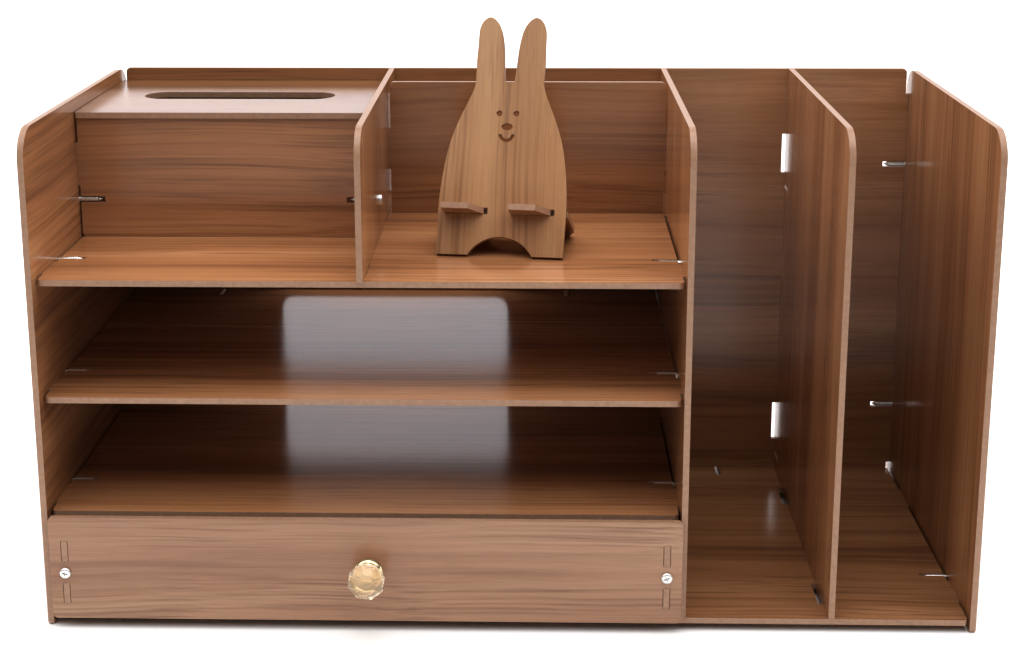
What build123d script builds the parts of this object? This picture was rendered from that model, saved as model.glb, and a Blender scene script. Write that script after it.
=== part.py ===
"""Wooden tiered letter tray, in millimetres.

Thin boards are joined by tabs in slots, and held by screws that lie in short slots cut from the board edges.
Two letter trays stand over a drawer, with two file bays on the right. Above the trays are a tissue
compartment with a lift-off lid, a phone bay with a loose two-board stand, and a pen bay behind it.
X points right, Y to the back and Z up. Sizes below count from the left panel's outer face, the side
panels' front edges and the ground, and the finished model is centred on its base at the end.
"""
import math
import os

from build123d import *

# Boards
board = 3.2
corner = 2.5
upper_corner = 15.8
heel_corner = 10.0

# Clear widths, from left to right
tray_width = 328.0
left_file_width = 74.0
right_file_width = 70.0
tissue_width = 163.0

# Depths
inner_depth = 208.8
rear_margin = 5.0
shelf_setback = 5.3
divider_setback = 2.0
bottom_setback = 0.3
tissue_front_y = 95.0
lid_overhang = 1.5
pen_bay_depth = 50.6

# Heights
foot_height = 4.2
drawer_bay_height = 51.6
tray_clear_height = 59.1
upper_bay_height = 77.6
lid_drop = 7.4
back_panel_foot = 1.0

# Joints between boards
tab_length = 24.0
tab_fit = 0.15
loose_fit = 2.3
seat_gap = 0.1
shoulder_gap = 1.0
back_shoulder_gap = 0.2
back_notch_gap = 1.9
back_top_notch = 15.4
back_foot_notch = 10.7
pen_shoulder_gap = 1.6
front_tab_y = 17.4
rear_tab_gap = 58.8
bottom_tab_shift = 5.0
screw_to_tab = 7.9
low_tab_z = 27.0
high_tab_drop = 64.2
tissue_tab_drop = 37.8
pen_tab_drop = 51.4
short_tab_rise = 0.7
short_tab_length = 14.0
upper_tab_drop = 39.4
side_tab_low_z = 18.6
side_tab_drop = 50.9

# Rear joints of the shelves, along X
left_rear_tab_x = 28.0
right_rear_tab_gap = 48.2
file_rear_tab_gap = 28.9

# Windows behind the trays
window_width = 142.0
window_margin = 5.0
window_corner = 8.0

# Lid
lid_slot_length = 110.0
lid_slot_width = 24.0
lid_side_gap = 0.5
lid_rest_depth = 20.0

# Screws
screw_radius = 1.5
screw_length = 16.0
head_radius = 3.0
head_height = 1.8
hole_radius = 1.7
screw_slot_width = 3.3
screw_slot_length = 13.6

# Drawer
drawer_clearance = 0.3
front_left_gap = 0.9
front_right_lap = 0.6
front_bottom_lap = 1.5
front_top_lap = 3.1
drawer_side_inset = 6.3
drawer_tab_side_fit = 0.3
drawer_slot_corner = 0.6
drawer_side_drop = 3.9
drawer_rear_gap = 12.8
drawer_tab = 11.3
drawer_tab_pitch = 23.4
drawer_bottom_rise = 2.8
drawer_back_overhang = 4.0

# Knob
knob_shift = 2.0
knob_turn = 8.0
rose_radius = 7.3
rose_thickness = 2.0
collar_radius = 6.5
collar_thickness = 1.8
cup_radius = 6.9
cup_thickness = 3.0
crystal_back_radius = 5.8
crystal_girdle_radius = 9.8
crystal_front_radius = 5.4
crystal_back_length = 4.6
crystal_girdle_length = 2.6
crystal_front_length = 5.2
knob_thread_radius = 2.0
knob_thread_depth = 5.0
knob_hole_radius = 2.2
knob_head_radius = 4.0
knob_head_height = 2.2
thread_fit = 0.05

# Phone stand, in its own upright frame: the outline's right half is a list of (half width, height)
stand_shift = 13.9
stand_y = 51.5
stand_lean = 26.0
stand_turn = 7.0
stand_foot = 33.6
stand_belly = [(34.2, 25.0), (33.6, 38.0), (32.3, 50.0), (28.9, 66.0), (21.6, 85.0), (18.4, 95.0)]
stand_ear = [(18.7, 108.0), (18.4, 119.0), (16.6, 129.4), (12.8, 132.2), (8.6, 129.6), (5.0, 121.0), (2.5, 95.3)]
stand_arch = 17.2
stand_arch_height = 10.1
ledge_height = 24.0
ledge_reach = 12.0
ledge_starts = [-30.9, 4.8]
ledge_width = 21.2
ledge_tip_width = 14.3
ledge_slot_length = 23.4
stand_leg_width = 70.0
stand_leg_tip = 56.0
eye_height = 78.0
eye_spacing = 9.2
eye_radius = 1.6
nose_height = 70.6
nose_width = 6.0
nose_depth = 4.0
mouth_height = 66.4
mouth_radius = 3.4
mouth_stroke = 1.8
stand_gap = 0.1

# Places worked out from the sizes above
partition_x = board + tray_width
file_divider_x = partition_x + board + left_file_width
right_panel_x = file_divider_x + board + right_file_width
total_width = right_panel_x + board
tissue_divider_x = board + tissue_width
side_depth = inner_depth + board + rear_margin
bottom_z = foot_height
floor_z = bottom_z + board
lower_shelf_z = floor_z + drawer_bay_height
middle_shelf_z = lower_shelf_z + board + tray_clear_height
top_shelf_z = middle_shelf_z + board + tray_clear_height
shelf_levels = [lower_shelf_z, middle_shelf_z, top_shelf_z]
upper_floor_z = top_shelf_z + board
total_height = upper_floor_z + upper_bay_height
lid_z = total_height - lid_drop - board
lid_rest_z = lid_z - board
tray_centre_x = board + tray_width / 2
screw_y = front_tab_y + tab_length + screw_to_tab
bottom_tab_y = front_tab_y + bottom_tab_shift
bottom_screw_y = screw_y + bottom_tab_shift
pen_panel_y = inner_depth - pen_bay_depth - board
rear_tab_y = inner_depth - rear_tab_gap
high_tab_z = total_height - high_tab_drop
tissue_tab_z = lid_z - tissue_tab_drop
pen_tab_z = total_height - pen_tab_drop
upper_tab_z = total_height - upper_tab_drop
side_tab_high_z = total_height - side_tab_drop
right_rear_tab_x = partition_x - right_rear_tab_gap
file_rear_tab_x = file_divider_x - file_rear_tab_gap
stand_x = (tissue_divider_x + board + partition_x) / 2 - stand_shift
knob_length = (rose_thickness + collar_thickness + cup_thickness
               + crystal_back_length + crystal_girdle_length + crystal_front_length)
drawer_front_y = -drawer_clearance - board
side_tabs_y = [front_tab_y, rear_tab_y]
bottom_tabs_y = [bottom_tab_y, rear_tab_y]
wall_tabs_z = [low_tab_z, high_tab_z]
wall_screws_z = [z - screw_to_tab - 1.0 for z in wall_tabs_z]
back_side_tabs_z = [side_tab_low_z, side_tab_high_z]
back_side_screws_z = [side_tab_low_z + tab_length + screw_to_tab, side_tab_high_z - screw_to_tab]
tissue_screw_z = tissue_tab_z - screw_to_tab
shelf_rear_tabs_x = [left_rear_tab_x, right_rear_tab_x]
shelf_rear_screws_x = [left_rear_tab_x + tab_length + screw_to_tab, right_rear_tab_x - screw_to_tab]
bottom_rear_tabs_x = shelf_rear_tabs_x + [file_rear_tab_x]
bottom_rear_screws_x = shelf_rear_screws_x + [file_rear_tab_x - screw_to_tab]

# The tissue divider's rear tabs, each with its start and length: a short one and a full one above it
short_tab = (upper_floor_z + short_tab_rise, short_tab_length)
upper_tab = (upper_tab_z, tab_length)
tissue_divider_tabs = [short_tab, upper_tab]
tissue_divider_screw_z = short_tab[0] + short_tab_length + screw_to_tab

# The strip under the lid's rear edge has a tab on each side of its screw
tissue_centre_x = board + tissue_width / 2
lid_rest_tabs_x = [tissue_centre_x - screw_to_tab - tab_length, tissue_centre_x + screw_to_tab]

# Drawer places
drawer_length = inner_depth - drawer_rear_gap
front_left_x = board + front_left_gap
front_right_x = partition_x + front_right_lap
front_bottom_z = floor_z - front_bottom_lap
front_top_z = lower_shelf_z + front_top_lap
drawer_side_height = drawer_bay_height - drawer_side_drop
drawer_side_z = floor_z + drawer_clearance
drawer_mid_z = drawer_side_z + drawer_side_height / 2
drawer_left_x = front_left_x + drawer_side_inset
drawer_right_x = front_right_x - drawer_side_inset - board
drawer_back_y = drawer_length - board
drawer_bottom_z = drawer_side_z + drawer_bottom_rise
drawer_tabs_z = [drawer_mid_z + side * drawer_tab_pitch / 2 - drawer_tab / 2 for side in (-1, 1)]
drawer_side_centres = [drawer_left_x + board / 2, drawer_right_x + board / 2]
knob_x = (front_left_x + front_right_x) / 2 + knob_shift
knob_z = (front_bottom_z + front_top_z) / 2

# Screws in the back panel, as (x, z)
back_screw_places = [(x, level + board / 2) for level in shelf_levels for x in shelf_rear_screws_x]
back_screw_places += [(x, bottom_z + board / 2) for x in bottom_rear_screws_x]
back_screw_places += [(partition_x + board / 2, z) for z in wall_screws_z]
back_screw_places += [(file_divider_x + board / 2, z) for z in wall_screws_z]
back_screw_places += [(tissue_divider_x + board / 2, tissue_divider_screw_z)]
back_screw_places += [(tissue_centre_x, lid_rest_z + board / 2)]


def area(u0, v0, u1, v1):
    """Plain rectangle between two corners of a sketch."""
    return Pos((u0 + u1) / 2, (v0 + v1) / 2) * Rectangle(u1 - u0, v1 - v0)


def rounded(u0, v0, u1, v1, radii):
    """Rectangle with a radius for each corner, from the lower left one counter-clockwise."""
    corners = [(u0, v0), (u1, v0), (u1, v1), (u0, v1)]
    return make_face(FilletPolyline(*corners, radius=radii, close=True))


def lying(sketch, z):
    """Board that lies flat, with its underside at z."""
    return extrude(Plane.XY.offset(z) * sketch, amount=board)


def crosswise(sketch, y):
    """Board that faces the front, with its front face at y."""
    face_plane = Plane(origin=(0, y, 0), x_dir=(1, 0, 0), z_dir=(0, -1, 0))
    return extrude(face_plane * sketch, amount=-board)


def lengthwise(sketch, x):
    """Board that faces sideways, with its left face at x."""
    face_plane = Plane(origin=(x, 0, 0), x_dir=(0, 1, 0), z_dir=(1, 0, 0))
    return extrude(face_plane * sketch, amount=board)


def slot_u(start, v):
    """Slot along the sketch's first axis for a tab of a board whose lower face is at v."""
    return area(start - tab_fit, v - tab_fit, start + tab_length + tab_fit, v + board + tab_fit)


def slot_v(start, u, loose_before=0.0, loose_after=0.0):
    """Slot along the sketch's second axis for a tab of a board whose first face is at u."""
    u0 = u - tab_fit - loose_before
    u1 = u + board + tab_fit + loose_after
    return area(u0, start - tab_fit, u1, start + tab_length + tab_fit)


def hole(u, v):
    """Clearance hole for a screw."""
    return Pos(u, v) * Circle(hole_radius)


def screw_slot_u(edge, v, direction):
    """Open slot that runs in from an edge along the sketch's first axis."""
    end = edge + direction * screw_slot_length
    return area(min(edge, end), v - screw_slot_width / 2, max(edge, end), v + screw_slot_width / 2)


def screw_slot_v(u, edge, direction):
    """Open slot that runs in from an edge along the sketch's second axis."""
    end = edge + direction * screw_slot_length
    return area(u - screw_slot_width / 2, min(edge, end), u + screw_slot_width / 2, max(edge, end))


def screw(seat, direction):
    """Self-tapping screw, with the underside of its head at seat, driven along direction."""
    head = Pos(0, 0, -head_height / 2) * Cylinder(head_radius, head_height)
    shank = Pos(0, 0, screw_length / 2) * Cylinder(screw_radius, screw_length)
    return Plane(origin=seat, z_dir=direction).location * (head + shank)


def side_panel(x, levels_with_tabs, tissue_joint):
    """Full-height side panel: levels_with_tabs pairs each lying board's underside with its tabs and screw."""
    radii = [corner, heel_corner, upper_corner, upper_corner]
    sketch = rounded(0, 0, side_depth, total_height, radii)
    for level, tabs, screw_at in levels_with_tabs:
        for start in tabs:
            sketch -= slot_u(start, level)
        sketch -= hole(screw_at, level + board / 2)
    for start in back_side_tabs_z:
        sketch -= slot_v(start, inner_depth)
    for z in back_side_screws_z:
        sketch -= hole(inner_depth + board / 2, z)
    if tissue_joint:
        sketch -= slot_v(tissue_tab_z, tissue_front_y)
        sketch -= hole(tissue_front_y + board / 2, tissue_screw_z)
    return lengthwise(sketch, x)


def upright_wall(x, front, foot, rear_tabs, rear_screws, foot_tabs):
    """Wall between two compartments, with tabs at its foot and rear, and a rounded upper front corner."""
    rear = inner_depth - seat_gap
    sketch = rounded(front, foot + seat_gap, rear, total_height, [0, 0, 0, upper_corner])
    for start in foot_tabs:
        sketch += area(start, foot - board, start + tab_length, foot + seat_gap)
    for start, length in rear_tabs:
        sketch += area(rear, start, inner_depth + board, start + length)
    for z in rear_screws:
        sketch -= screw_slot_u(rear, z, -1)
    return sketch


def shelf(level, extra_slots):
    """Shelf over the tray width, with two tabs at each side and two at the rear."""
    left = board + shoulder_gap
    right = partition_x - shoulder_gap
    rear = inner_depth - seat_gap
    sketch = rounded(left, shelf_setback, right, rear, [corner, corner, 0, 0])
    for start in side_tabs_y:
        sketch += area(0, start, left, start + tab_length)
        sketch += area(right, start, partition_x + board, start + tab_length)
    for start in shelf_rear_tabs_x:
        sketch += area(start, rear, start + tab_length, inner_depth + board)
    sketch -= screw_slot_u(left, screw_y, 1)
    sketch -= screw_slot_u(right, screw_y, -1)
    for x in shelf_rear_screws_x:
        sketch -= screw_slot_v(x, rear, -1)
    for slot in extra_slots:
        sketch -= slot
    return lying(sketch, level)


def make_bottom_panel():
    """Panel under the drawer and the file bays, over the whole width."""
    left = board + shoulder_gap
    right = right_panel_x - shoulder_gap
    rear = inner_depth - seat_gap
    sketch = rounded(left, bottom_setback, right, rear, [corner, corner, 0, 0])
    for start in bottom_tabs_y:
        sketch += area(0, start, left, start + tab_length)
        sketch += area(right, start, total_width, start + tab_length)
    for start in bottom_rear_tabs_x:
        sketch += area(start, rear, start + tab_length, inner_depth + board)
    sketch -= screw_slot_u(left, bottom_screw_y, 1)
    sketch -= screw_slot_u(right, bottom_screw_y, -1)
    for x in bottom_rear_screws_x:
        sketch -= screw_slot_v(x, rear, -1)
    for start in side_tabs_y:
        sketch -= slot_v(start, partition_x)
        sketch -= slot_v(start, file_divider_x, loose_before=loose_fit)
    return lying(sketch, bottom_z)


def make_partition():
    """Wall between the trays and the file bays, which the shelves' right tabs pass through."""
    rear_tabs = [(z, tab_length) for z in wall_tabs_z]
    sketch = upright_wall(partition_x, 0, floor_z, rear_tabs, wall_screws_z, side_tabs_y)
    for level in shelf_levels:
        for start in side_tabs_y:
            sketch -= slot_u(start, level)
        sketch -= hole(screw_y, level + board / 2)
    sketch -= slot_v(pen_tab_z, pen_panel_y)
    return lengthwise(sketch, partition_x)


def make_file_divider():
    """Wall between the two file bays."""
    rear_tabs = [(z, tab_length) for z in wall_tabs_z]
    sketch = upright_wall(file_divider_x, 0, floor_z, rear_tabs, wall_screws_z, side_tabs_y)
    return lengthwise(sketch, file_divider_x)


def make_tissue_divider():
    """Wall between the tissue compartment and the phone bay, standing on the top shelf."""
    sketch = upright_wall(tissue_divider_x, divider_setback, upper_floor_z, tissue_divider_tabs,
                          [tissue_divider_screw_z], side_tabs_y)
    sketch -= slot_v(tissue_tab_z, tissue_front_y)
    sketch -= hole(tissue_front_y + board / 2, tissue_screw_z)
    sketch -= slot_v(pen_tab_z, pen_panel_y)
    return lengthwise(sketch, tissue_divider_x)


def make_tissue_front_panel():
    """Front of the tissue compartment, with a tab and a screw at each end."""
    left = board + shoulder_gap
    right = tissue_divider_x - shoulder_gap
    sketch = rounded(left, upper_floor_z + seat_gap, right, lid_z, [corner, corner, 0, 0])
    sketch += area(0, tissue_tab_z, left, tissue_tab_z + tab_length)
    sketch += area(right, tissue_tab_z, tissue_divider_x + board, tissue_tab_z + tab_length)
    sketch -= screw_slot_u(left, tissue_screw_z, 1)
    sketch -= screw_slot_u(right, tissue_screw_z, -1)
    return crosswise(sketch, tissue_front_y)


def make_pen_panel():
    """Front of the pen bay, held by a tab in the wall at each end."""
    left = tissue_divider_x + board + pen_shoulder_gap
    right = partition_x - shoulder_gap
    sketch = rounded(left, upper_floor_z + seat_gap, right, total_height, [0, 0, corner, corner])
    sketch += area(tissue_divider_x, pen_tab_z, left, pen_tab_z + tab_length)
    sketch += area(right, pen_tab_z, partition_x + board, pen_tab_z + tab_length)
    return crosswise(sketch, pen_panel_y)


def make_back_panel():
    """Full-width back, notched at its corners, with a window behind each tray and a slot for every rear tab."""
    left = board + back_shoulder_gap
    right = right_panel_x - back_shoulder_gap
    sketch = rounded(board + back_notch_gap, back_panel_foot, right_panel_x - back_notch_gap, total_height,
                     [corner] * 4)
    sketch += area(left, back_panel_foot + back_foot_notch, right, total_height - back_top_notch)
    for start in back_side_tabs_z:
        sketch += area(0, start, left, start + tab_length)
        sketch += area(right, start, total_width, start + tab_length)
    for z in back_side_screws_z:
        sketch -= screw_slot_u(left, z, 1)
        sketch -= screw_slot_u(right, z, -1)
    for level in shelf_levels:
        for start in shelf_rear_tabs_x:
            sketch -= slot_u(start, level)
    for start in bottom_rear_tabs_x:
        sketch -= slot_u(start, bottom_z)
    for start in lid_rest_tabs_x:
        sketch -= slot_u(start, lid_rest_z)
    for start in wall_tabs_z:
        sketch -= slot_v(start, partition_x)
        sketch -= slot_v(start, file_divider_x, loose_before=loose_fit)
    for start, length in tissue_divider_tabs:
        sketch -= area(tissue_divider_x - tab_fit, start - tab_fit,
                       tissue_divider_x + board + loose_fit, start + length + tab_fit)
    for floor in (lower_shelf_z + board, middle_shelf_z + board):
        low = floor + window_margin
        high = floor + tray_clear_height - window_margin
        half = window_width / 2
        sketch -= rounded(tray_centre_x - half, low, tray_centre_x + half, high, [window_corner] * 4)
    for x, z in back_screw_places:
        sketch -= hole(x, z)
    return crosswise(sketch, inner_depth)


def make_lid_rest():
    """Strip that carries the lid's rear edge, tabbed into the back panel."""
    rear = inner_depth - seat_gap
    left = board + shoulder_gap
    right = tissue_divider_x - shoulder_gap
    sketch = rounded(left, rear - lid_rest_depth, right, rear, [corner, corner, 0, 0])
    for start in lid_rest_tabs_x:
        sketch += area(start, rear, start + tab_length, inner_depth + board)
    sketch -= screw_slot_v(tissue_centre_x, rear, -1)
    return lying(sketch, lid_rest_z)


def make_lid():
    """Loose lid with a long slot that the tissues come out of."""
    left = board + lid_side_gap
    right = tissue_divider_x - lid_side_gap
    front = tissue_front_y - lid_overhang
    rear = inner_depth - lid_side_gap
    sketch = rounded(left, front, right, rear, [corner / 2] * 4)
    sketch -= Pos((left + right) / 2, (front + rear) / 2) * SlotOverall(lid_slot_length, lid_slot_width)
    return lying(sketch, lid_z)


def make_drawer_side(x):
    """Drawer side, with two tabs and a screw slot at each end and slots for the bottom's tabs."""
    front = -drawer_clearance
    sketch = area(front + seat_gap, drawer_side_z, drawer_back_y - seat_gap, drawer_side_z + drawer_side_height)
    for z in drawer_tabs_z:
        sketch += area(drawer_front_y, z, front + seat_gap, z + drawer_tab)
        sketch += area(drawer_back_y - seat_gap, z, drawer_length, z + drawer_tab)
    sketch -= screw_slot_u(front + seat_gap, drawer_mid_z, 1)
    sketch -= screw_slot_u(drawer_back_y - seat_gap, drawer_mid_z, -1)
    for start in side_tabs_y:
        sketch -= slot_u(start, drawer_bottom_z)
    return lengthwise(sketch, x)


def drawer_end(left, right, low, high, radius):
    """Outline of the drawer's front or back, with the slots and holes for both sides."""
    sketch = rounded(left, low, right, high, [radius] * 4)
    for x in (drawer_left_x, drawer_right_x):
        for z in drawer_tabs_z:
            sketch -= rounded(x - drawer_tab_side_fit, z - tab_fit, x + board + drawer_tab_side_fit,
                              z + drawer_tab + tab_fit, [drawer_slot_corner] * 4)
        sketch -= hole(x + board / 2, drawer_mid_z)
    return sketch


def make_drawer_front():
    """Drawer front, which laps over the partition and the boards above and below."""
    sketch = drawer_end(front_left_x, front_right_x, front_bottom_z, front_top_z, corner)
    sketch -= Pos(knob_x, knob_z) * Circle(knob_hole_radius)
    return crosswise(sketch, drawer_front_y)


def make_drawer_back():
    """Drawer back, a little wider than the box so that its slots stay closed."""
    left = drawer_left_x - drawer_back_overhang
    right = drawer_right_x + board + drawer_back_overhang
    sketch = drawer_end(left, right, drawer_side_z, drawer_side_z + drawer_side_height, corner)
    return crosswise(sketch, drawer_back_y)


def make_drawer_bottom():
    """Drawer bottom, tabbed into both sides."""
    left = drawer_left_x + board + seat_gap
    right = drawer_right_x - seat_gap
    sketch = area(left, -drawer_clearance + seat_gap, right, drawer_back_y - seat_gap)
    for start in side_tabs_y:
        sketch += area(drawer_left_x, start, left, start + tab_length)
        sketch += area(right, start, drawer_right_x + board, start + tab_length)
    return lying(sketch, drawer_bottom_z)


def knob_place():
    """Knob frame: its Z axis points out of the drawer front, from near the middle of the front's face."""
    return Plane(origin=(knob_x, drawer_front_y, knob_z), x_dir=(1, 0, 0), z_dir=(0, -1, 0)).location


def make_knob_base():
    """Turned base of the knob: a rose, a narrower collar and a cup, with a blind thread bore."""
    collar_end = rose_thickness + collar_thickness
    cup_end = collar_end + cup_thickness
    outline = Polyline(
        (0, knob_thread_depth),
        (knob_thread_radius + thread_fit, knob_thread_depth),
        (knob_thread_radius + thread_fit, 0),
        (rose_radius, 0),
        (rose_radius, rose_thickness * 0.6),
        (collar_radius, rose_thickness),
        (collar_radius, collar_end),
        (cup_radius, collar_end + cup_thickness * 0.3),
        (cup_radius, cup_end - cup_thickness * 0.3),
        (crystal_back_radius, cup_end),
        (0, cup_end),
        close=True,
    )
    return knob_place() * revolve(Plane.XZ * make_face(outline), axis=Axis.Z)


def make_knob_crystal():
    """Eight-sided cut crystal: a back that widens to the girdle, and a front that narrows to a flat table."""
    start = rose_thickness + collar_thickness + cup_thickness
    girdle = start + crystal_back_length
    crown = girdle + crystal_girdle_length
    table = crown + crystal_front_length
    back_face = Plane.XY.offset(start) * RegularPolygon(crystal_back_radius, 8)
    girdle_face = Plane.XY.offset(girdle) * RegularPolygon(crystal_girdle_radius, 8)
    crown_face = Plane.XY.offset(crown) * RegularPolygon(crystal_girdle_radius, 8)
    table_face = Plane.XY.offset(table) * RegularPolygon(crystal_front_radius, 8)
    solid = loft([back_face, girdle_face], ruled=True)
    solid += loft([girdle_face, crown_face], ruled=True)
    solid += loft([crown_face, table_face], ruled=True)
    turned = Rot(0, 0, 22.5 - knob_turn) * solid
    return knob_place() * turned


def make_knob_screw():
    """Machine screw that holds the knob, put in from inside the drawer front."""
    head = Pos(0, 0, -board - knob_head_height / 2) * Cylinder(knob_head_radius, knob_head_height)
    length = board + knob_thread_depth - seat_gap
    shank = Pos(0, 0, -board + length / 2) * Cylinder(knob_thread_radius, length)
    return knob_place() * (head + shank)


def stand_location():
    """Place of the phone stand's upright frame: on the top shelf, leaning back and turned a little."""
    lift = board * math.sin(math.radians(stand_lean)) + stand_gap
    return Pos(stand_x, stand_y, upper_floor_z + lift) * Rot(0, 0, -stand_turn) * Rot(-stand_lean, 0, 0)


def half_outline():
    """Right half of the stand's front plate: foot with an arch, belly, neck and one long ear."""
    gap_edge = stand_ear[-1]
    belly_start = stand_belly[0]
    neck = stand_belly[-1]
    arch_radius = (stand_arch ** 2 + stand_arch_height ** 2) / (2 * stand_arch_height)
    middle = stand_arch / 2
    middle_height = stand_arch_height - arch_radius + math.sqrt(arch_radius ** 2 - middle ** 2)
    edges = Polyline((0, stand_arch_height), (0, gap_edge[1]), gap_edge)
    edges += Spline(*stand_ear, tangents=[(0, 1), (-0.1, -1)])
    edges += Line(stand_ear[0], neck)
    edges += Spline(*stand_belly, tangents=[(0.02, 1), (-0.15, 1)])
    edges += Polyline(belly_start, (stand_foot, 0), (stand_arch, 0))
    edges += ThreePointArc((stand_arch, 0), (middle, middle_height), (0, stand_arch_height))
    return make_face(edges)


def smile():
    """Mouth: a curved stroke of even width that hangs below the nose."""
    outer = Circle(mouth_radius + mouth_stroke / 2)
    inner = Circle(mouth_radius - mouth_stroke / 2)
    lower_half = area(-2 * mouth_radius, -2 * mouth_radius, 2 * mouth_radius, 0)
    return Pos(0, mouth_height) * ((outer - inner) & lower_half)


def make_stand_front():
    """Front plate of the phone stand: a plain animal outline with a cut-out face and two ledge slots."""
    half = half_outline()
    sketch = half + mirror(half, about=Plane.YZ)
    for start in ledge_starts:
        middle = start - tab_fit + ledge_slot_length / 2
        sketch -= Pos(middle, ledge_height) * Rectangle(ledge_slot_length, board + 2 * tab_fit)
    for side in (-1, 1):
        sketch -= Pos(side * eye_spacing / 2, eye_height) * Circle(eye_radius)
    sketch -= Pos(0, nose_height) * Ellipse(nose_width / 2, nose_depth / 2)
    sketch -= smile()
    face_plane = Plane(origin=(0, 0, 0), x_dir=(1, 0, 0), z_dir=(0, -1, 0))
    return stand_location() * extrude(face_plane * sketch, amount=-board)


def make_stand_prongs():
    """Rear board of the phone stand: two ledge prongs through the front plate and a leg down to the shelf."""
    lift = board * math.sin(math.radians(stand_lean)) + stand_gap
    lean = math.radians(stand_lean)
    underside = ledge_height - board / 2
    rear = (lift - stand_gap + underside * math.cos(lean)) / math.sin(lean)
    half_leg = stand_leg_width / 2
    half_tip = stand_leg_tip / 2
    front = board + seat_gap
    leg = [(-half_leg, front), (half_leg, front), (half_leg, rear - 8), (half_leg - 3, rear), (-half_leg + 3, rear),
           (-half_leg, rear - 8)]
    sketch = make_face(Polyline(*leg, close=True))
    sketch -= Pos(0, rear) * Circle(half_tip / 2)
    for start in ledge_starts:
        prong = [(start, front), (start, -ledge_reach), (start + ledge_tip_width, -ledge_reach),
                 (start + ledge_width, 0), (start + ledge_width, front)]
        sketch += make_face(Polyline(*prong, close=True))
    lying_plane = Plane.XY.offset(underside)
    return stand_location() * extrude(lying_plane * sketch, amount=board)


def left_panel_screws():
    """Screws driven inward from the left panel's outer face."""
    places = [(screw_y, level + board / 2) for level in shelf_levels]
    places += [(bottom_screw_y, bottom_z + board / 2), (tissue_front_y + board / 2, tissue_screw_z)]
    places += [(inner_depth + board / 2, z) for z in back_side_screws_z]
    return [screw((0, y, z), (1, 0, 0)) for y, z in places]


def right_panel_screws():
    """Screws driven inward from the right panel's outer face."""
    places = [(bottom_screw_y, bottom_z + board / 2)]
    places += [(inner_depth + board / 2, z) for z in back_side_screws_z]
    return [screw((total_width, y, z), (-1, 0, 0)) for y, z in places]


def partition_screws():
    """Screws driven from the partition's right face into the shelves."""
    return [screw((partition_x + board, screw_y, level + board / 2), (-1, 0, 0)) for level in shelf_levels]


def tissue_divider_screws():
    """Screw driven from the tissue divider's right face into the tissue front panel."""
    return [screw((tissue_divider_x + board, tissue_front_y + board / 2, tissue_screw_z), (-1, 0, 0))]


def back_panel_screws():
    """Screws driven forward from the back panel's rear face."""
    return [screw((x, inner_depth + board, z), (0, -1, 0)) for x, z in back_screw_places]


def drawer_front_screws():
    """Screws driven through the drawer front into the ends of the drawer's sides."""
    return [screw((x, drawer_front_y, drawer_mid_z), (0, 1, 0)) for x in drawer_side_centres]


def drawer_back_screws():
    """Screws driven through the drawer back into the ends of the drawer's sides."""
    return [screw((x, drawer_length, drawer_mid_z), (0, -1, 0)) for x in drawer_side_centres]


# Shelves: the top one also takes the tissue divider's foot tabs
divider_slots = [slot_v(start, tissue_divider_x) for start in side_tabs_y]
left_levels = [(bottom_z, bottom_tabs_y, bottom_screw_y)]
left_levels += [(level, side_tabs_y, screw_y) for level in shelf_levels]

nodes = {
    "left_side_panel": side_panel(0, left_levels, True),
    "right_side_panel": side_panel(right_panel_x, left_levels[:1], False),
    "tray_partition": make_partition(),
    "file_divider": make_file_divider(),
    "bottom_panel": make_bottom_panel(),
    "lower_shelf": shelf(lower_shelf_z, []),
    "middle_shelf": shelf(middle_shelf_z, []),
    "top_shelf": shelf(top_shelf_z, divider_slots),
    "tissue_front_panel": make_tissue_front_panel(),
    "tissue_divider": make_tissue_divider(),
    "pen_bay_panel": make_pen_panel(),
    "back_panel": make_back_panel(),
    "tissue_lid_rest": make_lid_rest(),
    "tissue_lid": make_lid(),
    "drawer_front": make_drawer_front(),
    "drawer_left_side": make_drawer_side(drawer_left_x),
    "drawer_right_side": make_drawer_side(drawer_right_x),
    "drawer_back": make_drawer_back(),
    "drawer_bottom": make_drawer_bottom(),
    "knob_base": make_knob_base(),
    "knob_crystal": make_knob_crystal(),
    "knob_screw": make_knob_screw(),
    "phone_stand_front": make_stand_front(),
    "phone_stand_prongs": make_stand_prongs(),
    "left_panel_screws": Compound(children=left_panel_screws()),
    "right_panel_screws": Compound(children=right_panel_screws()),
    "partition_screws": Compound(children=partition_screws()),
    "tissue_divider_screws": Compound(children=tissue_divider_screws()),
    "back_panel_screws": Compound(children=back_panel_screws()),
    "drawer_front_screws": Compound(children=drawer_front_screws()),
    "drawer_back_screws": Compound(children=drawer_back_screws()),
}

# The whole model's box is centred on its base, from the knob's end to the side panels' rear edges
front_y = drawer_front_y - knob_length
centred = Pos(-total_width / 2, -(front_y + side_depth) / 2, 0)

os.makedirs("parts", exist_ok=True)
for name, solid in nodes.items():
    export_step(centred * solid, f"parts/{name}.step")
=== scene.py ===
import math

import bpy
from mathutils import Matrix, Vector


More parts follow.
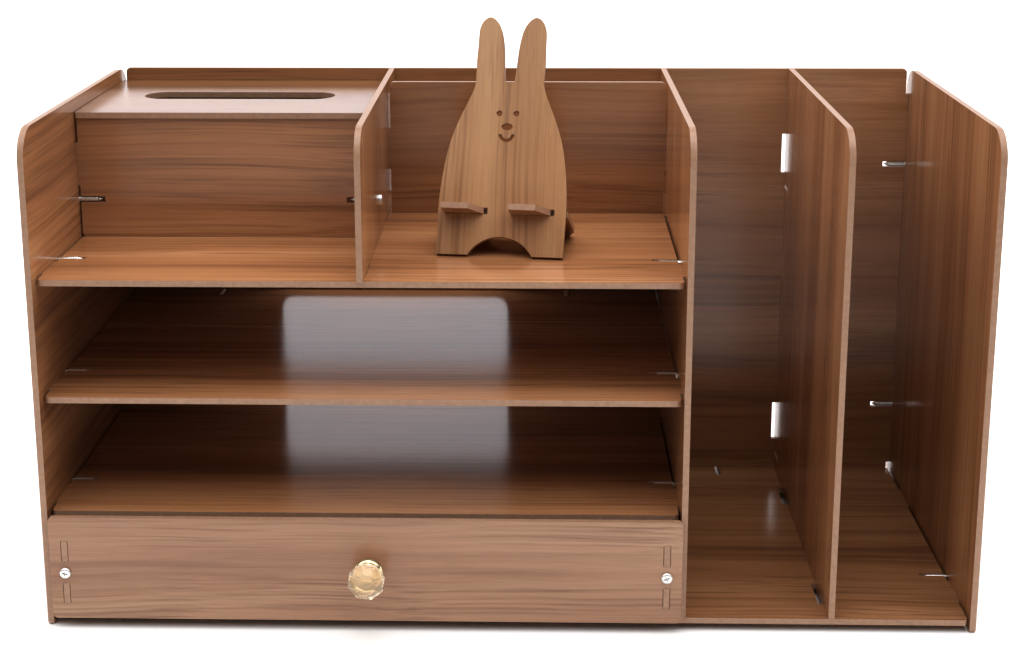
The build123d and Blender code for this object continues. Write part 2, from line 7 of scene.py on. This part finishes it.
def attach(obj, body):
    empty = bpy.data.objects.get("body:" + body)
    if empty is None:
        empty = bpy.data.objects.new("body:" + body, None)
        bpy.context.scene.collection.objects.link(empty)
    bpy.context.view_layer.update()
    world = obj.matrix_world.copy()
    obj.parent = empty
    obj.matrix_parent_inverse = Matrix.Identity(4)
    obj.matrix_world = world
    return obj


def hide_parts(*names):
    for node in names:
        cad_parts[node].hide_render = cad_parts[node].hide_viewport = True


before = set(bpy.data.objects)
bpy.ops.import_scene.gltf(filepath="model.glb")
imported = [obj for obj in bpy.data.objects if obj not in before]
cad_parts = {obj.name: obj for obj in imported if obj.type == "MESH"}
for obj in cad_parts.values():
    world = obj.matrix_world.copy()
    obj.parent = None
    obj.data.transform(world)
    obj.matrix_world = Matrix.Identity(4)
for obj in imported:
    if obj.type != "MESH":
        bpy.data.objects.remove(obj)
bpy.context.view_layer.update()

# Standpoint: a camera 0.9 m in front of the organizer and a little above it, tipped down by 13 degrees.
# The lens is long and slightly shifted, as in a product photograph that keeps uprights upright.
camera_data = bpy.data.cameras.new("camera")
camera_data.sensor_width = 36.0
camera_data.lens = 59.15
camera_data.shift_x = 0.0163
camera_data.shift_y = -0.12
camera = bpy.data.objects.new("camera", camera_data)
bpy.context.scene.collection.objects.link(camera)
standpoint = (0.01398, -0.90314, 0.41569)
heading, tip, roll = math.radians(1.46), math.radians(90 - 13.261), math.radians(-0.135)
camera.matrix_world = (Matrix.Translation(standpoint) @ Matrix.Rotation(heading, 4, "Z")
                       @ Matrix.Rotation(tip, 4, "X") @ Matrix.Rotation(roll, 4, "Z"))
bpy.context.scene.camera = camera


# Studio: a sheet of matt white paper between two broad soft lamps, one high on each side. The surround
# is bright behind the organizer, where the satin foil mirrors it through the windows, and dim elsewhere.
# The view's gamma gives the contrast of a photograph.
def linear(code):
    """Turns an sRGB hex colour into linear RGBA."""
    values = [int(code[i:i + 2], 16) / 255 for i in (1, 3, 5)]
    return tuple(v / 12.92 if v <= 0.04045 else ((v + 0.055) / 1.055) ** 2.4 for v in values) + (1.0,)


def add_node(tree, kind, settings=None, links=None):
    """Adds a node, sets its sockets and properties by name, and links its inputs to other outputs."""
    node = tree.nodes.new(kind)
    for name, value in (settings or {}).items():
        if isinstance(name, int) or name in node.inputs:
            node.inputs[name].default_value = value
        else:
            setattr(node, name, value)
    for name, source in (links or {}).items():
        tree.links.new(source, node.inputs[name])
    return node


def new_material(name):
    """Empty node material."""
    material = bpy.data.materials.new(name)
    material.use_nodes = True
    material.node_tree.nodes.clear()
    return material


bpy.context.scene.view_settings.view_transform = "Standard"
bpy.context.scene.view_settings.gamma = 0.8

# The surround brightens where its direction's backward part goes from 0.2 to 0.7, and fades again where
# the upward part goes from 0.45 to 0.75
world = bpy.data.worlds.new("studio")
world.use_nodes = True
surround = world.node_tree
surround.nodes["Background"].inputs["Color"].default_value = linear("#FAF9FF")
towards = add_node(surround, "ShaderNodeTexCoord")
parts_of = add_node(surround, "ShaderNodeSeparateXYZ", {}, {"Vector": towards.outputs["Generated"]})
behind = add_node(surround, "ShaderNodeMapRange", {"From Min": 0.2, "From Max": 0.7},
                  {"Value": parts_of.outputs["Y"]})
low = add_node(surround, "ShaderNodeMapRange", {"From Min": 0.75, "From Max": 0.45},
               {"Value": parts_of.outputs["Z"]})
backdrop = add_node(surround, "ShaderNodeMath", {"operation": "MULTIPLY"},
                    {0: behind.outputs[0], 1: low.outputs[0]})
brightness = add_node(surround, "ShaderNodeMapRange", {"To Min": 0.18, "To Max": 1.57},
                      {"Value": backdrop.outputs[0]})
surround.links.new(brightness.outputs[0], surround.nodes["Background"].inputs["Strength"])
bpy.context.scene.world = world

# White paper: dead matt, with no grain or glare to see. From 0.4 m in front of the organizer it rolls
# off to pale grey, so that the standing boards mirror less of it.
bpy.ops.object.select_all(action="DESELECT")
bpy.ops.mesh.primitive_plane_add(size=12.0, location=(0, 0, 0))
floor = bpy.context.active_object
floor.name = "floor"
paper = new_material("matt_white_paper")
paper_place = add_node(paper.node_tree, "ShaderNodeTexCoord")
paper_ways = add_node(paper.node_tree, "ShaderNodeSeparateXYZ", {}, {"Vector": paper_place.outputs["Object"]})
roll_off = add_node(paper.node_tree, "ShaderNodeMapRange", {"From Min": -1.3, "From Max": -0.4},
                    {"Value": paper_ways.outputs["Y"]})
paper_tone = add_node(paper.node_tree, "ShaderNodeMix",
                      {"data_type": "RGBA", 6: linear("#989898"), 7: linear("#F7F7F7")},
                      {0: roll_off.outputs[0]})
paper_shader = add_node(paper.node_tree, "ShaderNodeBsdfPrincipled",
                        {"Roughness": 0.9, "Specular IOR Level": 0.1}, {"Base Color": paper_tone.outputs[2]})
add_node(paper.node_tree, "ShaderNodeOutputMaterial", {}, {"Surface": paper_shader.outputs[0]})
floor.data.materials.append(paper)

for side, name in ((-1, "left_lamp"), (1, "right_lamp")):
    lamp_data = bpy.data.lights.new(name, "SUN")
    lamp_data.energy = 2.85
    lamp_data.angle = math.radians(80)
    lamp = bpy.data.objects.new(name, lamp_data)
    bpy.context.scene.collection.objects.link(lamp)
    lamp_aim = Vector((-0.55 * side, 0.1, -1.0))
    lamp.rotation_euler = lamp_aim.to_track_quat("-Z", "Y").to_euler()


# Side panels: full-height boards of 3 mm fibreboard, cut by laser and faced with printed walnut foil.
# Tabs of the shelves come through them. The left one's print runs from front to back and the right
# one's from foot to top.
def walnut_board(name, normal, turn, shift, painted_lighting=1.0, light="#BE916B", middle="#A77A55", dark="#875E43",
                 streak="#694834", red="#966144", edge_light="#B3927A", edge_dark="#93715A"):
    """Foil-faced board: normal is its face's direction, turn brings the print's grain to the X axis, and
    the factor after shift lightens or darkens the whole print with painted light or shade, for how much
    light falls on that board.

    The foil is paper printed with walnut and sealed with satin lacquer. It shows straight brown bands,
    short dark lines and a soft shine that lifts toward grazing light."""
    material = new_material(name)
    tree = material.node_tree
    coordinates = add_node(tree, "ShaderNodeTexCoord")
    place = add_node(tree, "ShaderNodeMapping", {"Rotation": turn, "Location": shift},
                     {"Vector": coordinates.outputs["Object"]})

    # The figure wanders up to 3 mm off the straight, over lengths of about 150 mm
    wander = add_node(tree, "ShaderNodeVectorMath", {"operation": "MULTIPLY", 1: (6.0, 14.0, 14.0)},
                      {0: place.outputs[0]})
    wave = add_node(tree, "ShaderNodeTexNoise", {"Scale": 1.0, "Detail": 1.0}, {"Vector": wander.outputs[0]})
    sway = add_node(tree, "ShaderNodeVectorMath", {"operation": "MULTIPLY", 1: (0.0, 0.012, 0.012)},
                    {0: wave.outputs["Color"]})
    swayed = add_node(tree, "ShaderNodeVectorMath", {"operation": "ADD"},
                      {0: place.outputs[0], 1: sway.outputs[0]})

    def grain(along, across, detail, distortion=0.0):
        """Noise that is stretched along the grain: along and across are cycles per metre."""
        stretched = add_node(tree, "ShaderNodeVectorMath",
                             {"operation": "MULTIPLY", 1: (along, across, across)}, {0: swayed.outputs[0]})
        noise = add_node(tree, "ShaderNodeTexNoise",
                         {"Scale": 1.0, "Detail": detail, "Distortion": distortion},
                         {"Vector": stretched.outputs[0]})
        return noise.outputs["Fac"]

    # Figure: 30 mm bands, 5 mm growth lines, and dark lines 2 mm apart that come and go in patches.
    # The printed fibres are about 0.2 mm wide, and are drawn 0.5 mm wide to show
    bands = grain(1.6, 34.0, 2.0, 0.2)
    growth = grain(2.2, 200.0, 3.0, 0.2)
    patches = grain(5.0, 30.0, 1.0)
    lines = grain(4.0, 600.0, 4.0, 0.1)
    fibres = grain(50.0, 1900.0, 2.0)

    # Brown figure: six parts of bands to four of growth lines, from dark over middle to light
    growth_part = add_node(tree, "ShaderNodeMath", {"operation": "MULTIPLY", 1: 0.4}, {0: growth})
    figure = add_node(tree, "ShaderNodeMath", {"operation": "MULTIPLY_ADD", 1: 0.6},
                      {0: bands, 2: growth_part.outputs[0]})
    browns = add_node(tree, "ShaderNodeValToRGB", {}, {"Fac": figure.outputs[0]})
    browns.color_ramp.elements[0].position = 0.34
    browns.color_ramp.elements[0].color = linear(dark)
    browns.color_ramp.elements[1].position = 0.62
    browns.color_ramp.elements[1].color = linear(light)
    browns.color_ramp.elements.new(0.47).color = linear(middle)

    # Red tinge along the growth lines, then the dark lines, then the fibres' fine contrast
    red_mask = add_node(tree, "ShaderNodeMapRange", {"From Min": 0.5, "From Max": 0.68, "To Max": 0.5},
                        {"Value": growth})
    reddened = add_node(tree, "ShaderNodeMix", {"data_type": "RGBA", 7: linear(red)},
                        {0: red_mask.outputs[0], 6: browns.outputs["Color"]})
    patch_mask = add_node(tree, "ShaderNodeMapRange", {"From Min": 0.42, "From Max": 0.6, "To Min": 0.2},
                          {"Value": patches})
    line_mask = add_node(tree, "ShaderNodeMapRange", {"From Min": 0.47, "From Max": 0.7, "To Max": 0.65},
                         {"Value": lines})
    line_strength = add_node(tree, "ShaderNodeMath", {"operation": "MULTIPLY"},
                             {0: line_mask.outputs[0], 1: patch_mask.outputs[0]})
    streaked = add_node(tree, "ShaderNodeMix", {"data_type": "RGBA", 7: linear(streak)},
                        {0: line_strength.outputs[0], 6: reddened.outputs[2]})
    # The fibres' range also carries the board's factor: painted light or shade over its whole face
    fine = add_node(tree, "ShaderNodeMapRange",
                    {"From Min": 0.3, "From Max": 0.7, "To Min": 0.93 * painted_lighting, "To Max": 1.05 * painted_lighting},
                    {"Value": fibres})
    face = add_node(tree, "ShaderNodeVectorMath", {"operation": "MULTIPLY"},
                    {0: streaked.outputs[2], 1: fine.outputs[0]})

    # Cut edges: bare fibreboard, browned by the laser, wherever the surface doesn't face along the normal.
    # It looks finely speckled: its fibre bundles, under 1 mm wide, are drawn 2.4 mm wide to show
    speckle = add_node(tree, "ShaderNodeTexNoise", {"Scale": 420.0, "Detail": 3.0},
                       {"Vector": coordinates.outputs["Object"]})
    edge = add_node(tree, "ShaderNodeMix",
                    {"data_type": "RGBA", 6: linear(edge_light), 7: linear(edge_dark)},
                    {0: speckle.outputs["Fac"]})
    facing = add_node(tree, "ShaderNodeVectorMath", {"operation": "DOT_PRODUCT", 1: normal},
                      {0: coordinates.outputs["Normal"]})
    squareness = add_node(tree, "ShaderNodeMath", {"operation": "ABSOLUTE"}, {0: facing.outputs["Value"]})
    is_face = add_node(tree, "ShaderNodeMath", {"operation": "GREATER_THAN", 1: 0.7},
                       {0: squareness.outputs[0]})
    colour = add_node(tree, "ShaderNodeMix", {"data_type": "RGBA"},
                      {0: is_face.outputs[0], 6: edge.outputs[2], 7: face.outputs[0]})

    # The foil has a satin gloss that is a little duller in the dark pores; the cut edge is duller still
    satin = add_node(tree, "ShaderNodeMapRange",
                     {"From Min": 0.3, "From Max": 0.7, "To Min": 0.14, "To Max": 0.2}, {"Value": fibres})
    gloss = add_node(tree, "ShaderNodeMix", {2: 0.4}, {0: is_face.outputs[0], 3: satin.outputs[0]})
    relief = add_node(tree, "ShaderNodeBump", {"Strength": 0.2, "Distance": 0.0001}, {"Height": fibres})
    shader = add_node(tree, "ShaderNodeBsdfPrincipled", {"IOR": 1.52},
                      {"Base Color": colour.outputs[2], "Roughness": gloss.outputs[0],
                       "Normal": relief.outputs[0]})
    add_node(tree, "ShaderNodeOutputMaterial", {}, {"Surface": shader.outputs[0]})
    return material


def dress(node, material):
    """Gives a CAD node its material."""
    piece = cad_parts[node]
    piece.data.materials.clear()
    piece.data.materials.append(material)


sideways = (1.0, 0.0, 0.0)
upright_grain = (0.0, math.pi / 2, 0.0)
deep_grain = (0.0, 0.0, -math.pi / 2)
dress("left_side_panel", walnut_board("walnut_foil_left_panel", sideways, deep_grain, (0.1, 0.3, 0.0)))
dress("right_side_panel", walnut_board("walnut_foil_right_panel", sideways, upright_grain, (1.2, 0.1, 0.0)))


# Inner walls: the tray partition, the divider between the file bays and the short tissue divider.
# They are the same foil-faced board, with the print running from foot to top, and stand in slots.
# The partition's 1.15 lightens its print: painted light
dress("tray_partition", walnut_board("walnut_foil_partition", sideways, upright_grain, (2.7, 0.2, 0.0), 1.15))
dress("file_divider", walnut_board("walnut_foil_file_divider", sideways, upright_grain, (3.9, 0.5, 0.0)))
dress("tissue_divider", walnut_board("walnut_foil_tissue_divider", sideways, upright_grain, (5.1, 0.4, 0.0)))


# Bottom panel, the three shelves and the strip under the tissue lid: lying boards whose print runs from
# left to right. Tabs on their ends sit in the walls' slots. Each board's factor is painted light or shade:
# the upper shelves are lightened where more light falls, the lower shelf and bottom panel darkened.
upward = (0.0, 0.0, 1.0)
level_grain = (0.0, 0.0, 0.0)
lying = {"bottom_panel": 0.75, "lower_shelf": 0.95, "middle_shelf": 1.12, "top_shelf": 1.12,
         "tissue_lid_rest": 1.0}
for number, (node, painted_lighting) in enumerate(lying.items()):
    along_print = (0.9 * number, 0.37 * number, 0.2)
    dress(node, walnut_board(f"walnut_foil_{node}", upward, level_grain, along_print, painted_lighting))


# Back panel, pen bay panel and tissue front: standing boards whose print runs from left to right.
# The back panel closes the whole width, with a window behind each tray.
forward = (0.0, 1.0, 0.0)
# Each factor is painted light or shade: the back and pen bay panels are darkened to offset the pale floor
# they mirror, and the tissue front is lightened
standing = {"back_panel": 0.95, "pen_bay_panel": 0.93, "tissue_front_panel": 1.04}
for number, (node, painted_lighting) in enumerate(standing.items()):
    along_print = (1.7 * number, 0.6, 0.31 * number)
    dress(node, walnut_board(f"walnut_foil_{node}", forward, level_grain, along_print, painted_lighting))


# Tissue lid: a loose board of the same make, with a long slot that tissues are pulled through. It lies
# on the tissue front and on a strip at the back, and lifts off.
# The lid's 0.58 darkens its print: painted shade that offsets the bright sheen of its satin foil
dress("tissue_lid", walnut_board("walnut_foil_lid", upward, level_grain, (8.1, 0.23, 0.1), 0.58))


# Drawer: an open box of the same boards, held together by tabs and four screws. Its front has a paler,
# pinker palette.
drawer_browns = {"light": "#B49277", "middle": "#A88268", "dark": "#906C55", "streak": "#6E4D3C",
                 "red": "#8E644E"}
dress("drawer_front", walnut_board("walnut_foil_drawer_front", forward, level_grain, (9.4, 0.3, 0.13),
                                   **drawer_browns))
dress("drawer_back", walnut_board("walnut_foil_drawer_back", forward, level_grain, (10.4, 0.1, 0.2)))
dress("drawer_bottom", walnut_board("walnut_foil_drawer_bottom", upward, level_grain, (11.4, 0.2, 0.2)))
dress("drawer_left_side", walnut_board("walnut_foil_drawer_left", sideways, deep_grain, (12.4, 0.2, 0.2)))
dress("drawer_right_side", walnut_board("walnut_foil_drawer_right", sideways, deep_grain, (13.4, 0.2, 0.2)))


# Phone stand: two loose boards that slot into each other, faced with foil printed as paler beech, with
# the same satin shine. The print runs up the leaning plate and across the ledge board.
lean = Matrix.Rotation(math.radians(-7.0), 3, "Z") @ Matrix.Rotation(math.radians(-26.0), 3, "X")
plate_up = lean @ Vector((0.0, 0.0, 1.0))
plate_out = lean @ Vector((0.0, 1.0, 0.0))
plate_side = lean @ Vector((1.0, 0.0, 0.0))
plate_grain = tuple(Matrix((plate_up, plate_side, plate_out)).to_euler())
ledge_grain = tuple(Matrix((plate_side, plate_out, plate_up)).to_euler())
beech_browns = {"light": "#B9936C", "middle": "#A9805C", "dark": "#886447", "streak": "#6D4F39",
                "red": "#976E51"}
dress("phone_stand_front", walnut_board("beech_foil_stand_front", tuple(plate_out), plate_grain,
                                        (0.3, 0.2, 0.1), **beech_browns))
dress("phone_stand_prongs", walnut_board("beech_foil_stand_prongs", tuple(plate_up), ledge_grain,
                                         (1.3, 0.2, 0.1), **beech_browns))


# Screws: zinc-plated self-tapping screws, 16 mm long, with a domed head and a cross recess. Their threads
# bite into the sides of the boards' open slots. One is modelled here along +Z, with its head's underside
# at the origin, and copied to every seat.

# Zinc plate: bright and cool, with soft, slightly cloudy highlights. Its crystals are about 0.1 mm wide,
# and are drawn 1.4 mm wide to show
zinc = new_material("zinc_plated_steel")
zinc_place = add_node(zinc.node_tree, "ShaderNodeTexCoord")
zinc_cloud = add_node(zinc.node_tree, "ShaderNodeTexNoise", {"Scale": 700.0, "Detail": 3.0},
                      {"Vector": zinc_place.outputs["Object"]})
zinc_colour = add_node(zinc.node_tree, "ShaderNodeMix",
                       {"data_type": "RGBA", 6: linear("#F4F3EF"), 7: linear("#D6D6D4")},
                       {0: zinc_cloud.outputs["Fac"]})
zinc_gloss = add_node(zinc.node_tree, "ShaderNodeMapRange", {"To Min": 0.26, "To Max": 0.46},
                      {"Value": zinc_cloud.outputs["Fac"]})
zinc_shader = add_node(zinc.node_tree, "ShaderNodeBsdfPrincipled", {"Metallic": 1.0},
                       {"Base Color": zinc_colour.outputs[2], "Roughness": zinc_gloss.outputs[0]})
add_node(zinc.node_tree, "ShaderNodeOutputMaterial", {}, {"Surface": zinc_shader.outputs[0]})


def start_piece(name):
    """Names the primitive just added, and puts its place into its mesh."""
    piece = bpy.context.active_object
    piece.name = name
    bpy.ops.object.transform_apply(location=True, rotation=True, scale=True)
    return piece


def pick(piece, test, mode="EDGE"):
    """Opens the piece in edit mode, with only the edges or faces selected whose points all pass the test."""
    bpy.ops.object.select_all(action="DESELECT")
    bpy.context.view_layer.objects.active = piece
    piece.select_set(True)
    bpy.ops.object.mode_set(mode="EDIT")
    bpy.ops.mesh.select_mode(type=mode)
    bpy.ops.mesh.select_all(action="DESELECT")
    bpy.ops.object.mode_set(mode="OBJECT")
    for part in (piece.data.edges if mode == "EDGE" else piece.data.polygons):
        part.select = all(test(piece.data.vertices[index].co) for index in part.vertices)
    bpy.ops.object.mode_set(mode="EDIT")


def join(name, pieces):
    """Joins pieces into the first one."""
    bpy.ops.object.select_all(action="DESELECT")
    for piece in pieces:
        piece.select_set(True)
    bpy.context.view_layer.objects.active = pieces[0]
    bpy.ops.object.join()
    pieces[0].name = name
    return pieces[0]


# Head: a 6 mm disc with a domed rim, less a cross of two tapered bars
head_radius = 0.003
head_height = 0.0018
dome = 0.0011
recess_size = (0.0036, 0.0008, 0.0018)
recess_middle = -0.0016
bpy.ops.object.select_all(action="DESELECT")
bpy.ops.mesh.primitive_cylinder_add(vertices=28, radius=head_radius, depth=head_height,
                                    location=(0, 0, -head_height / 2))
head = start_piece("screw_head")
pick(head, lambda point: point.z < -0.9 * head_height)
bpy.ops.mesh.bevel(offset=dome, segments=4, affect="EDGES")
bpy.ops.object.mode_set(mode="OBJECT")
for bar_turn in (0.0, math.pi / 2):
    bpy.ops.object.select_all(action="DESELECT")
    bpy.ops.mesh.primitive_cube_add(size=1.0, location=(0, 0, recess_middle), rotation=(0, 0, bar_turn),
                                    scale=recess_size)
    bar = start_piece("recess_bar")
    pick(bar, lambda point: point.z > recess_middle, "FACE")
    bpy.ops.transform.resize(value=(0.5, 0.5, 1.0))
    bpy.ops.object.mode_set(mode="OBJECT")
    cut = head.modifiers.new("recess", "BOOLEAN")
    cut.operation = "DIFFERENCE"
    cut.solver = "EXACT"
    cut.object = bar
    bpy.context.view_layer.objects.active = head
    bpy.ops.object.modifier_apply(modifier=cut.name)
    bpy.data.objects.remove(bar)

# Core: a 2.9 mm rod that is drawn out to a point over its last 2.5 mm
core_radius = 0.00145
core_length = 0.0136
core_middle = 0.0066
taper, point_taper = 0.0013, 0.0012
bpy.ops.object.select_all(action="DESELECT")
bpy.ops.mesh.primitive_cylinder_add(vertices=20, radius=core_radius, depth=core_length,
                                    location=(0, 0, core_middle))
core = start_piece("screw_core")
pick(core, lambda point: point.z > core_middle, "FACE")
bpy.ops.mesh.extrude_region_move(TRANSFORM_OT_translate={"value": (0, 0, taper)})
bpy.ops.transform.resize(value=(0.6, 0.6, 1.0))
bpy.ops.mesh.extrude_region_move(TRANSFORM_OT_translate={"value": (0, 0, point_taper)})
bpy.ops.transform.resize(value=(0.2, 0.2, 1.0))
bpy.ops.object.mode_set(mode="OBJECT")

# Thread: a three-sided ridge that winds up the core, out to 3.8 mm across
ridge_radius = 0.00056
ridge_start = (0.00134, 0, 0.0036)
pitch = 0.0013
windings = 8
steps = 14
bpy.ops.object.select_all(action="DESELECT")
bpy.ops.mesh.primitive_circle_add(vertices=3, radius=ridge_radius, fill_type="NOTHING")
ridge = bpy.context.active_object
ridge.data.transform(Matrix.Translation(ridge_start) @ Matrix.Rotation(math.pi / 2, 4, "X")
                     @ Matrix.Rotation(-math.pi / 2, 4, "Z"))
winding = ridge.modifiers.new("winding", "SCREW")
winding.axis = "Z"
winding.angle = 2 * math.pi
winding.screw_offset = pitch
winding.iterations = windings
winding.steps = steps
winding.render_steps = steps
bpy.ops.object.modifier_apply(modifier=winding.name)
bpy.ops.object.mode_set(mode="EDIT")
bpy.ops.mesh.select_mode(type="EDGE")
bpy.ops.mesh.select_all(action="DESELECT")
bpy.ops.mesh.select_non_manifold()
bpy.ops.mesh.edge_face_add()
bpy.ops.mesh.select_all(action="SELECT")
bpy.ops.mesh.normals_make_consistent(inside=False)
bpy.ops.object.mode_set(mode="OBJECT")
screw = join("threaded_screw", [head, core, ridge])
bpy.ops.object.shade_smooth_by_angle(angle=math.radians(35))
screw.data.materials.clear()
screw.data.materials.append(zinc)


def at(x, y, z):
    """Place in the drawing's millimetres, which count from the left panel's outer face and front edge."""
    return Vector((x - 242.4, y - 97.15, z)) / 1000


def drive(node, body, direction, seats, slants=None):
    """Replaces a node of screws by copies of the threaded one, driven along direction from their seats.

    slants gives, by number, the degrees by which a screw went in at a slant, tip high."""
    copies = []
    for number, seat in enumerate(seats):
        slant = math.radians((slants or {}).get(number, 0))
        heading = Vector(direction) + Vector((0, 0, math.tan(slant)))
        aim = heading.to_track_quat("Z", "Y").to_matrix().to_4x4()
        recess_turn = 0.9 * number + 0.3
        copy = bpy.data.objects.new(f"{node}_{number}", screw.data.copy())
        copy.data.transform(Matrix.Translation(at(*seat)) @ aim @ Matrix.Rotation(recess_turn, 4, "Z"))
        bpy.context.scene.collection.objects.link(copy)
        copies.append(copy)
    piece = join(f"{node}_threaded", copies)
    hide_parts(node)
    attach(piece, body)


# Seats lie on the outer faces of the boards; heights are those of the bottom panel, the shelves, the
# tissue front and the drawer's middle
left_face, right_face, partition_face, divider_face, back_face = 0, 484.8, 334.4, 169.4, 212
bottom_height = 5.8
shelf_heights = (60.6, 122.9, 185.2)
tissue_front_height = 208.1
rear_heights = (50.5, 205.6)
drawer_height = 31.55
shelf_depth, bottom_depth, tissue_front_depth, rear_depth = 49.3, 54.3, 96.6, 210.4
rightward, leftward, backward, frontward = (1, 0, 0), (-1, 0, 0), (0, 1, 0), (0, -1, 0)

drive("left_panel_screws", "frame", rightward,
      [(left_face, shelf_depth, z) for z in shelf_heights]
      + [(left_face, bottom_depth, bottom_height), (left_face, tissue_front_depth, tissue_front_height)]
      + [(left_face, rear_depth, z) for z in rear_heights], {2: 4})
drive("right_panel_screws", "frame", leftward,
      [(right_face, bottom_depth, bottom_height)] + [(right_face, rear_depth, z) for z in rear_heights])
drive("partition_screws", "frame", leftward, [(partition_face, shelf_depth, z) for z in shelf_heights])
drive("tissue_divider_screws", "frame", leftward, [(divider_face, tissue_front_depth, tissue_front_height)])
drive("back_panel_screws", "frame", frontward,
      [(x, back_face, z) for x in (59.9, 275.1) for z in (bottom_height, *shelf_heights)]
      + [(371.6, back_face, bottom_height)]
      + [(x, back_face, z) for x in (332.8, 410) for z in (18.1, 191.3)]
      + [(167.8, back_face, 209.4), (84.7, back_face, 252.2)])
drive("drawer_front_screws", "drawer", backward, [(x, -3.5, drawer_height) for x in (12, 323.9)])
drive("drawer_back_screws", "drawer", frontward, [(x, 196, drawer_height) for x in (12, 323.9)])
bpy.data.objects.remove(screw)
dress("knob_screw", zinc)


# Knob base: turned brass with a gilt finish, in three stepped rings and a cup that grips the crystal.
# The knob's screw holds it against the drawer front.

# Gilt brass: warm pale gold with a bright band round each ring. Handling has clouded it in 2 mm spots
gilt = new_material("gilt_turned_brass")
gilt_place = add_node(gilt.node_tree, "ShaderNodeTexCoord")
gilt_cloud = add_node(gilt.node_tree, "ShaderNodeTexNoise", {"Scale": 500.0, "Detail": 2.0},
                      {"Vector": gilt_place.outputs["Object"]})
gilt_colour = add_node(gilt.node_tree, "ShaderNodeMix",
                       {"data_type": "RGBA", 6: linear("#F3E6C6"), 7: linear("#E4D2A6")},
                       {0: gilt_cloud.outputs["Fac"]})
gilt_gloss = add_node(gilt.node_tree, "ShaderNodeMapRange", {"To Min": 0.14, "To Max": 0.26},
                      {"Value": gilt_cloud.outputs["Fac"]})
gilt_shader = add_node(gilt.node_tree, "ShaderNodeBsdfPrincipled", {"Metallic": 1.0},
                       {"Base Color": gilt_colour.outputs[2], "Roughness": gilt_gloss.outputs[0]})
add_node(gilt.node_tree, "ShaderNodeOutputMaterial", {}, {"Surface": gilt_shader.outputs[0]})


def turned(name, sides, rings):
    """Turned piece along +Z: rings pairs each height with its radius, in millimetres."""
    height, radius = rings[0]
    bpy.ops.object.select_all(action="DESELECT")
    bpy.ops.mesh.primitive_circle_add(vertices=sides, radius=radius / 1000, fill_type="NGON",
                                      location=(0, 0, height / 1000))
    piece = start_piece(name)
    bpy.ops.object.mode_set(mode="EDIT")
    bpy.ops.mesh.select_mode(type="FACE")
    bpy.ops.mesh.select_all(action="SELECT")
    for next_height, next_radius in rings[1:]:
        rise, growth = (next_height - height) / 1000, next_radius / radius
        bpy.ops.mesh.extrude_region_move(TRANSFORM_OT_translate={"value": (0, 0, rise)})
        bpy.ops.transform.resize(value=(growth, growth, 1.0))
        height, radius = next_height, next_radius
    bpy.ops.mesh.select_all(action="SELECT")
    bpy.ops.mesh.normals_make_consistent(inside=False)
    bpy.ops.object.mode_set(mode="OBJECT")
    return piece


knob_place = Matrix.Translation(at(169.95, -3.5, 34.0)) @ Matrix.Rotation(math.pi / 2, 4, "X")
foot_ring = [(0.0, 7.3), (0.9, 7.3), (1.3, 7.15), (1.5, 6.8), (1.6, 6.6)]
middle_ring = [(1.9, 6.75), (2.3, 6.75), (2.6, 6.5), (2.8, 6.2)]
neck_ring = [(3.0, 6.3), (3.4, 6.3), (3.7, 6.0), (3.9, 5.8)]
cup = [(4.2, 6.2), (4.7, 6.75), (5.4, 6.9), (6.0, 6.75), (6.5, 6.3), (6.8, 5.8)]
cup_inside = [(6.79, 5.3), (6.3, 5.1), (6.29, 4.2), (5.6, 3.9), (5.59, 2.6), (6.4, 2.3)]
base = turned("knob_turned_base", 48, foot_ring + middle_ring + neck_ring + cup + cup_inside)
bpy.ops.object.shade_smooth_by_angle(angle=math.radians(30))
base.data.transform(knob_place)
base.data.materials.append(gilt)
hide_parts("knob_base")
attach(base, "drawer")


# Knob crystal: clear cast glass, cut with eight sides round a wide girdle and polished by hand. The gilt
# cup behind it shines through as pale gold. A fifth of its surface is matt cream: a painted pale-gold glow
# that stands in for lit gold seen through the glass. Its facets are a little uneven, in 4 mm waves, and
# fine polishing marks vary their gloss.
crystal = new_material("clear_cut_crystal")
crystal_place = add_node(crystal.node_tree, "ShaderNodeTexCoord")
crystal_wave = add_node(crystal.node_tree, "ShaderNodeTexNoise", {"Scale": 250.0, "Detail": 1.0},
                        {"Vector": crystal_place.outputs["Object"]})
crystal_relief = add_node(crystal.node_tree, "ShaderNodeBump", {"Strength": 0.15, "Distance": 0.0003},
                          {"Height": crystal_wave.outputs["Fac"]})
crystal_gloss = add_node(crystal.node_tree, "ShaderNodeMapRange", {"To Min": 0.005, "To Max": 0.03},
                         {"Value": crystal_wave.outputs["Fac"]})
# Cream base colour on the fifth that is not clear: painted pale-gold glow
crystal_shader = add_node(crystal.node_tree, "ShaderNodeBsdfPrincipled",
                          {"Base Color": linear("#FBEBD2"), "IOR": 1.42, "Transmission Weight": 0.8},
                          {"Roughness": crystal_gloss.outputs[0], "Normal": crystal_relief.outputs[0]})
add_node(crystal.node_tree, "ShaderNodeOutputMaterial", {}, {"Surface": crystal_shader.outputs[0]})
stone = turned("knob_cut_crystal", 8, [(6.8, 5.8), (11.4, 9.8), (14.0, 9.8), (19.2, 5.4)])
softening = stone.modifiers.new("softening", "BEVEL")
softening.width = 0.0003
softening.segments = 2
softening.limit_method = "ANGLE"
softening.angle_limit = math.radians(15)
bpy.ops.object.modifier_apply(modifier=softening.name)
facet_turn = math.radians(22.5 - 8.0)
stone.data.transform(knob_place @ Matrix.Rotation(facet_turn, 4, "Z"))
stone.data.materials.append(crystal)
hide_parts("knob_crystal")
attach(stone, "drawer")
